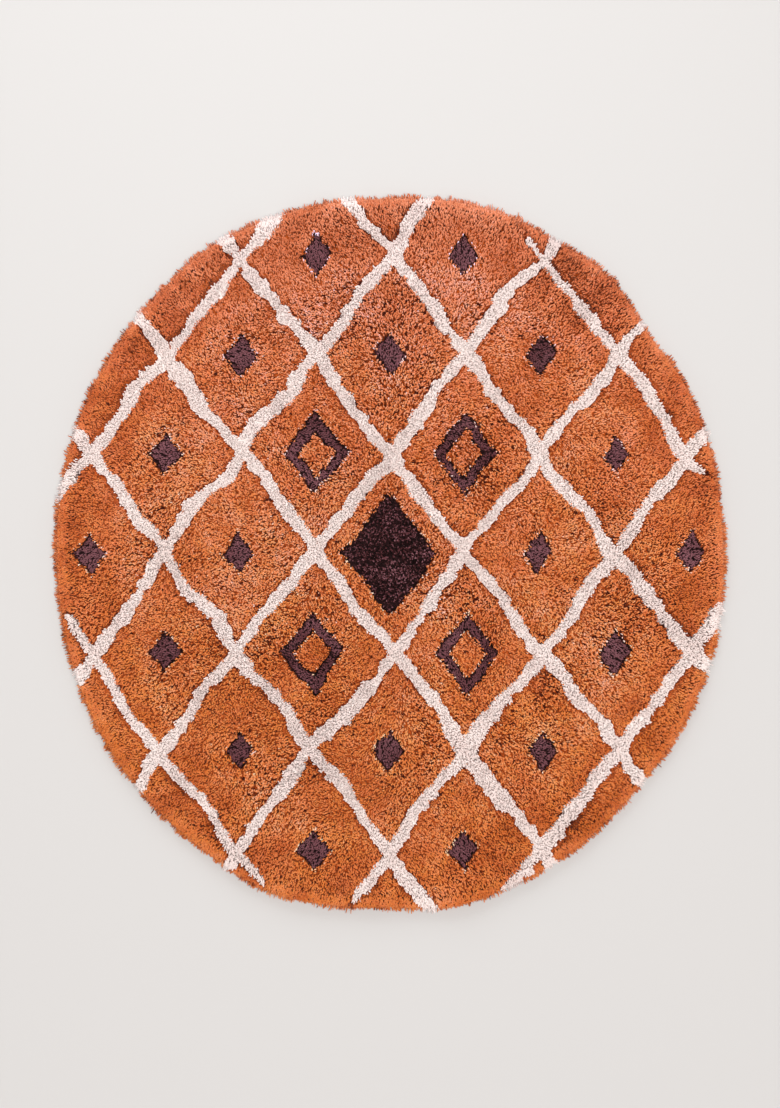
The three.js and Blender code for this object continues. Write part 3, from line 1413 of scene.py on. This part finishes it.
@dataclass(frozen=True)
class PileTones:
    """The dye's tones, how much they differ by chance, and the painted shade that lowers them in grooves,
    breaks and shadows.
    """

    usual: float = 0.48
    mottles: Layers = (SmoothField(0.026, 71, 0.08), SmoothField(0.110, 72, 0.07))
    clumps: SmoothField = SmoothField(0.0085, 74, 0.05, turn=0.2)
    clump_stretch: float = 1.5  # How many times longer a clump is than wide
    rim_darker: float = 0.12
    thin_brown: float = 0.20
    deep_brown: float = -0.16
    streaks: SmoothField = SmoothField(0.0042, 73, 0.16, turn=0.0)
    streak_stretch: float = 5.0
    groove_painted_shade: float = 0.42
    tuft_change: float = 0.03
    end_change: float = 0.23
    light_share: float = 0.018
    light_change: float = 0.3
    shadow_darker: float = 0.35
    sunken_painted_shade: Span = (0.9, 0.2)  # Painted shade on sunken ends, in rust and in other yarn
    rim_change: float = 0.24


@dataclass(frozen=True)
class Tousle:
    """How much chance there is in the yarn ends of each area."""

    rust: Span = (0.46, 0.46)  # In smooth pile, and how much more in the most tousled
    rim_calm: float = 0.4
    calm_blend: float = 0.040
    cream: float = 0.31
    thin_brown: float = 0.25
    deep_brown: float = 2.1


@dataclass(frozen=True)
class Overhang:
    """The longer yarn ends that hang over the rim and come to rest on the floor."""

    count: int = 15500
    upper_share: float = 0.55  # Of them, planted high on the rim
    inset: tuple[Span, Span] = ((0.0100, 0.0180), (0.008, 0.014))  # Of the upper and of the lower ones
    root: tuple[Span, Span] = ((0.75, 1.0), (0.3, 0.8))  # In shares of the bed's height
    tip: tuple[Span, Span] = ((0.0045, 0.0155), (0.0012, 0.0085))
    reach: Span = (0.009, 0.0150)
    uneven_reach: SmoothField = SmoothField(0.014, 92, 0.002)
    upper_shorter: float = 0.003
    usual_share: float = 0.98
    long_reach: Span = (0.002, 0.006)
    clumps: SmoothField = SmoothField(0.011, 91, 0.45)  # How they lean together
    sway: float = 0.4  # How far one leans off its clump
    knee_along: float = 0.55
    knee_rise: Span = (0.001, 0.005)
    mesher: YarnMesher = YarnMesher(stations=(0.45, 1.0), girth=(1.0, 0.55))


@dataclass
class Pile:
    """The standing pile: tufts of a few yarn ends in rows, and the longer ends at the rim."""

    bed: PileBed
    borders: YarnBorders
    tufting: Tufting = Tufting()
    leaning: PileLean = PileLean()
    toning: PileTones = PileTones()
    tousling: Tousle = Tousle()
    overhang: Overhang = Overhang()
    chance: Chance = field(default_factory=Chance)
    ends: int = 5  # In a tuft
    tuft_spread: float = 0.0019  # From a tuft's middle to its ends
    end_width: float = 0.0025
    width_share: Span = (0.8, 1.2)
    reach: Span = (0.0035, 0.0080)
    rim_flare: Band = Band(0.050, 0.036)
    rim_reach: Span = (0.0, 0.005)
    rim_pull: float = 1.5
    tuft_sway: float = 0.5
    end_sway: float = 1.1
    rim_sway: float = 0.5
    coloured_at: float = 0.5  # The share of its reach at which an end meets the pattern
    brown_pull: float = 0.3
    cream_hold: float = 0.6  # How much less cream ends lean across their line
    root_depth: float = 0.0015
    seen_at: float = 0.7  # Where along a yarn end it is seen from above
    top_unevenness: float = 0.0012
    lowest_tip: float = 0.0012
    kink: float = 0.0014
    hollow: float = 0.0027  # How low a sunken end lies
    other_hollow: float = 0.3  # The share of that in yarn that isn't rust
    shadow_hollow: float = 0.0052
    groove_pitch: float = 0.033
    groove_wave: SmoothField = SmoothField(0.040, 42, 0.0025)
    groove_zone: Band = Band(0.0046, 0.003)
    groove_depth: float = 0.0050
    most_ends: int = 49000  # In one piece

    def near_rim(self, x: Array, y: Array) -> Array:
        """Tells, from 0 to 1, which places lie in the calmer and darker zone along the rim."""
        return self.bed.ragged.near_rim(self.bed.form, x, y, self.tousling.calm_blend)

    def groove(self, x: Array, y: Array) -> Array:
        """Finds the grooves between the rows of the large diamond.

        Args:
            x, y: The places.

        Returns:
            How much each place is in a groove, from 0 to 1.
        """
        course = y + self.groove_wave.at(x, y)
        off = np.abs((course / self.groove_pitch) % 1 - 0.5) * self.groove_pitch
        return self.groove_zone.at(off) * self.bed.pattern.in_large_diamond(x, y)

    def drop(self, x: Array, y: Array, yarn: Array, parted: Array, shadow: Array) -> Array:
        """Gives how much lower than usual the pile stands.

        Args:
            x, y: The places.
            yarn: The yarn at each of them.
            parted: Whether the yarn end is a sunken one.
            shadow: How much each is in the cream pile's shadow.

        Returns:
            The drop at each place.
        """
        hollow = self.hollow * parted * np.where(yarn == Yarn.RUST, 1.0, self.other_hollow)
        groove = self.groove_depth * self.groove(x, y) * (yarn == Yarn.BROWN)
        low = np.where(yarn == Yarn.BROWN, self.bed.brown_drop, 0.0)
        return low + np.maximum(np.maximum(hollow, groove), self.shadow_hollow * shadow)

    def tones(self, x: Array, y: Array, yarn: Array) -> Array:
        """Gives the dye's tone, with painted shade in the large diamond's grooves, before each tuft's and
        end's own change.

        Args:
            x, y: The places.
            yarn: The yarn at each of them.

        Returns:
            The tone at each place.
        """
        tones = self.toning
        mottled = layered(tones.mottles, x, y, tones.usual)
        clumped = tones.clumps.at(x / tones.clump_stretch, y) - tones.rim_darker * self.near_rim(x, y)
        mottled = mottled + clumped * (yarn == Yarn.RUST)
        dark = tones.deep_brown + tones.streaks.at(x / tones.streak_stretch, y)
        # Painted shade in the grooves
        dark = dark - tones.groove_painted_shade * self.groove(x, y)
        brown = np.where(self.bed.pattern.in_large_diamond(x, y), dark, tones.thin_brown)
        return mottled + np.where(yarn == Yarn.BROWN, brown, 0.0)

    def tousle(self, x: Array, y: Array, yarn: Array) -> Array:
        """Gives how much chance there is in each yarn end.

        Args:
            x, y: The places.
            yarn: The yarn at each of them.

        Returns:
            The share of chance at each place, where 1 is the usual one.
        """
        chance = self.tousling
        smooth, more = chance.rust
        rust = (smooth + more * self.bed.ragged.at(x, y)) * (1 - chance.rim_calm * self.near_rim(x, y))
        brown = np.where(self.bed.pattern.in_large_diamond(x, y), chance.deep_brown, chance.thin_brown)
        return np.select([yarn == Yarn.BROWN, yarn == Yarn.CREAM], [brown, chance.cream], rust)

    def heading(self, x: Array, y: Array, yarn: Array, way: Array, outward: Array) -> Array:
        """Turns each yarn end outwards at the rim, towards brown yarn and along a cream line.

        Args:
            x, y: The places.
            yarn: The yarn at each of them.
            way: The bearing that each leans to by itself.
            outward: How much each lies in the zone that turns outwards.

        Returns:
            The level unit vector that each leans to.
        """
        bearing = np.arctan2(y, x) + self.chance.spread(self.rim_sway, len(x))
        made = headings(way) * (1 - outward)[:, None]
        made += headings(bearing) * (self.rim_pull * outward)[:, None]
        pull = np.where(yarn == Yarn.RUST, self.brown_pull, 0.0)[:, None]
        made += pull * self.borders.towards_brown(x, y)
        across = self.bed.pattern.away_from_cream(x, y)
        crossing = np.sum(made * across, axis=-1, keepdims=True)
        made -= np.where(yarn == Yarn.CREAM, self.cream_hold, 0.0)[:, None] * crossing * across
        return unit(made)

    def ends_from(self, root: Array, knee: Array, tip: Array, tone: Array, yarn: Array) -> YarnEnds:
        """Draws the yarn ends' widths and turns, and joins them with what is known of them."""
        width = self.end_width * self.chance.between(self.width_share, len(root))
        return YarnEnds(root, knee, tip, width, self.chance.turned(len(root)), tone, yarn)

    def field_ends(self) -> YarnEnds:
        """Plants the tufts all over the bed.

        Returns:
            Their yarn ends.
        """
        chance = self.chance
        form = self.bed.form
        tuft_x, tuft_y = self.tufting.places(self.bed, chance)
        tufts = len(tuft_x)
        own = np.repeat(np.arange(tufts), self.ends)
        count = len(own)
        turn = chance.turned(tufts)[own] + math.tau * np.arange(count) / self.ends
        x = tuft_x[own] + self.tuft_spread * np.cos(turn)
        y = tuft_y[own] + self.tuft_spread * np.sin(turn)
        outward = self.rim_flare.at(form.inset(x, y))
        reach = chance.between(self.reach, count) + outward * chance.between(self.rim_reach, count)
        lean = self.leaning.at(form, x, y)
        way = lean + chance.spread(self.tuft_sway, tufts)[own]
        over = self.coloured_at * reach * (1 - outward)
        yarn = self.bed.pattern.yarn_at(x + over * np.cos(way), y + over * np.sin(way))
        tousle = self.tousle(x, y, yarn)
        way = way + chance.spread(self.end_sway, count) * tousle
        root = np.stack([x, y, self.bed.height(x, y) - self.root_depth], axis=-1)
        tip = root + self.heading(x, y, yarn, way, outward) * reach[:, None]
        seen_x, seen_y = (root + self.seen_at * (tip - root))[:, :2].T
        parted = chance.share(count) < self.bed.ragged.breaks(form, seen_x, seen_y)
        shadow = self.borders.cream_shadow(x, y, yarn, lean)
        level = form.top(tip[:, 0], tip[:, 1]) + chance.spread(self.top_unevenness, count) * tousle
        tip[:, 2] = np.maximum(level - self.drop(x, y, yarn, parted, shadow), self.lowest_tip)
        knee = (root + tip) / 2
        knee[:, :2] += chance.spread(self.kink, (count, 2))
        order = np.argsort(chance.share((tufts, self.ends)), axis=1).ravel()
        own_tone = (order + chance.share(count)) / self.ends * 2 - 1
        tones = self.toning
        light = chance.share(count) < tones.light_share
        change = chance.spread(tones.tuft_change, tufts)[own] + tones.end_change * own_tone
        tone = self.tones(x, y, yarn) + (change + tones.light_change * light) * tousle
        # Painted shadow beside cream pile and painted shade on sunken ends, then painted shadow and
        # highlights along brown yarn
        tone -= tones.shadow_darker * shadow + parted * np.where(yarn == Yarn.RUST, *tones.sunken_painted_shade)
        tone += self.borders.brown_edges(seen_x, seen_y, yarn, chance)
        return self.ends_from(root, knee, tip, tone, yarn)

    def rim_ends(self) -> YarnEnds:
        """Plants the longer ends that hang over the rim and come to rest on the floor.

        Returns:
            The yarn ends.
        """
        rim = self.overhang
        chance = self.chance
        count = rim.count
        bearing = 360 * (np.arange(count) + chance.spread(1, count)) / count
        upper = chance.share(count) < rim.upper_share
        inset = chance.either(upper, *rim.inset)
        angle = np.radians(bearing)
        root = headings(angle) * (self.bed.form.radius(bearing) - inset)[:, None]
        x, y = root[:, :2].T
        heading = headings(angle + rim.clumps.at(x, y) + chance.spread(rim.sway, count))
        long = chance.share(count) > rim.usual_share
        reach = chance.between(rim.reach, count) + rim.uneven_reach.at(x, y)
        further = np.where(long, chance.between(rim.long_reach, count), 0.0)
        reach = reach + further - rim.upper_shorter * upper
        root[:, 2] = self.bed.height(x, y) * chance.either(upper, *rim.root)
        tip = root + heading * reach[:, None]
        tip[:, 2] = chance.either(upper, *rim.tip)
        knee = root + heading * (rim.knee_along * reach)[:, None]
        knee[:, 2] = root[:, 2] + chance.between(rim.knee_rise, count)
        yarn = self.bed.pattern.yarn_at(x, y)
        tone = self.tones(x, y, yarn) + chance.spread(self.toning.rim_change, count)
        return self.ends_from(root, knee, tip, tone, yarn)

    def piece(self, name: str, mesher: YarnMesher, ends: YarnEnds, material: Material) -> Piece:
        """Makes one joined piece of yarn ends.

        Args:
            name: The piece's name.
            mesher: Makes its strands.
            ends: Its yarn ends.
            material: Its finish.

        Returns:
            The piece.
        """
        data = mesher.mesh(name, ends)
        data.materials.append(material)
        LOG.info("%s: %d yarn ends, %d faces", name, len(ends.root), len(data.polygons))
        return on_the_rug(placed(name, data))

    def dress(self, materials: dict[Yarn, Material]) -> list[Piece]:
        """Builds the pieces of the pile, each of one yarn and not too large.

        Args:
            materials: Each yarn's finish.

        Returns:
            The pieces.
        """
        made = []
        standing = self.field_ends()
        hanging = self.rim_ends()
        for yarn, material in materials.items():
            name = yarn.name.lower()
            chosen = standing.only(standing.yarn == yarn)
            chosen = chosen.only(np.argsort(chosen.root[:, 1], kind="stable"))
            parts = math.ceil(len(chosen.root) / self.most_ends)
            for part, rows in enumerate(np.array_split(np.arange(len(chosen.root)), parts), 1):
                made.append(self.piece(f"{name}_pile_{part}", YarnMesher(), chosen.only(rows), material))
            over = hanging.only(hanging.yarn == yarn)
            if len(over.root):
                made.append(self.piece(f"{name}_rim", self.overhang.mesher, over, material))
        return made


@dataclass(frozen=True)
class Lamp:
    """A light that faces the rug's middle."""

    place: tuple[float, float, float]
    power: float
    colour: tuple[float, float, float]

    def hang(self, data: bpy.types.Light) -> None:
        """Places a light, with the lamp's strength and colour, so that it faces the rug's middle.

        Args:
            data: The light.
        """
        data.energy = self.power
        data.color = self.colour
        lamp = placed(data.name, data)
        lamp.location = self.place
        lamp.rotation_mode = "QUATERNION"
        lamp.rotation_quaternion = (-lamp.location).to_track_quat("-Z", "Y")


@dataclass
class Studio:
    """The pale floor, the soft lights and the camera above the rug."""

    camera_height: float = 2.1
    sensor_width: float = 36.0  # In millimetres
    floor_side: float = 30.0
    floor_drop: float = 0.0002
    floor_colour: Colour = dyed(186, 183, 181)
    floor_roughness: float = 0.9
    floor_gloss: float = 0.1
    window: Lamp = Lamp((-0.5, 3.2, 1.8), 17.5, (0.90, 0.96, 1.0))
    window_side: float = 2.0
    window_spread: float = 80.0  # In degrees
    room: Lamp = Lamp((0.5, -0.6, 3.0), 2.6, (1.0, 0.975, 0.95))
    room_softness: float = 50.0  # In degrees
    air_colour: Colour = (0.97, 0.97, 0.98, 1.0)
    air_strength: float = 0.66

    def camera(self) -> None:
        """Puts the camera over the rug, with the photograph's frame round it."""
        data = bpy.data.cameras.new("camera")
        data.sensor_width = self.sensor_width
        seen = PHOTO_HEIGHT * METRES_PER_PIXEL
        data.lens = data.sensor_width * self.camera_height / seen
        camera = placed("camera", data)
        off_x = (PHOTO_WIDTH / 2 - PHOTO_MIDDLE[0]) * METRES_PER_PIXEL
        off_y = (PHOTO_MIDDLE[1] - PHOTO_HEIGHT / 2) * METRES_PER_PIXEL
        camera.location = (off_x, off_y, self.camera_height)
        bpy.context.scene.camera = camera

    def floor(self) -> None:
        """Lays the floor just under the rug."""
        mesh = bmesh.new()
        bmesh.ops.create_grid(mesh, x_segments=1, y_segments=1, size=self.floor_side / 2)
        bmesh.ops.translate(mesh, verts=mesh.verts[:], vec=(0.0, 0.0, -self.floor_drop))
        material = Coat("studio_floor").finish(
            Base_Color=self.floor_colour,
            Roughness=self.floor_roughness,
            Specular_IOR_Level=self.floor_gloss,
        )
        finished(mesh, "floor", material)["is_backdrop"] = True

    def lights(self) -> None:
        """Sets up the window, the light from overhead and the air of the room."""
        window = bpy.data.lights.new("window", "AREA")
        window.size = self.window_side
        window.spread = math.radians(self.window_spread)
        self.window.hang(window)
        room = bpy.data.lights.new("room", "SUN")
        room.angle = math.radians(self.room_softness)
        self.room.hang(room)
        world = bpy.data.worlds.new("room_air")
        world.use_nodes = True
        air = world.node_tree.nodes["Background"]
        air.inputs[0].default_value = self.air_colour
        air.inputs[1].default_value = self.air_strength
        bpy.context.scene.world = world
        bpy.context.scene.view_settings.view_transform = "Standard"

    def build(self) -> None:
        """Sets up everything round the rug."""
        self.camera()
        self.floor()
        self.lights()


def corners(box: tuple[object, object]) -> list[list[float]]:
    """Gives a box's two corners as plain lists."""
    return [[float(value) for value in corner] for corner in box]


def main() -> None:
    """Builds the rug's pieces in order and reports each of them."""
    logging.basicConfig(level=logging.INFO, format="%(message)s")
    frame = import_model()
    LOG.info("solids in the frame: %d", len(frame["nodes"]))
    solid_box = corners(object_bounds())
    Studio().build()
    form = RugForm()
    pattern = TrellisPattern(form)
    mottle = mottle_group()
    yarn_group = SpunYarn().group()

    backing = Backing(form)
    cloth = backing.dress(mottle)
    LOG.info("backing: %d faces", len(cloth.data.polygons))
    bed = PileBed(form, pattern)
    low_pile = bed.dress(mottle)
    LOG.info("pile bed: %d faces", len(low_pile.data.polygons))
    finishes = {Yarn.RUST: RUST_YARN, Yarn.CREAM: CREAM_YARN, Yarn.BROWN: BROWN_YARN}
    materials = {yarn: finish.material(yarn_group, mottle) for yarn, finish in finishes.items()}
    standing = Pile(bed, YarnBorders(pattern)).dress(materials)
    backing.area()
    LOG.info("faces of the standing pile: %d", sum(len(piece.data.polygons) for piece in standing))
    seen_box = corners(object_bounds())
    LOG.info("solid box %s, seen box %s", solid_box, seen_box)


if __name__ == "__main__":
    main()
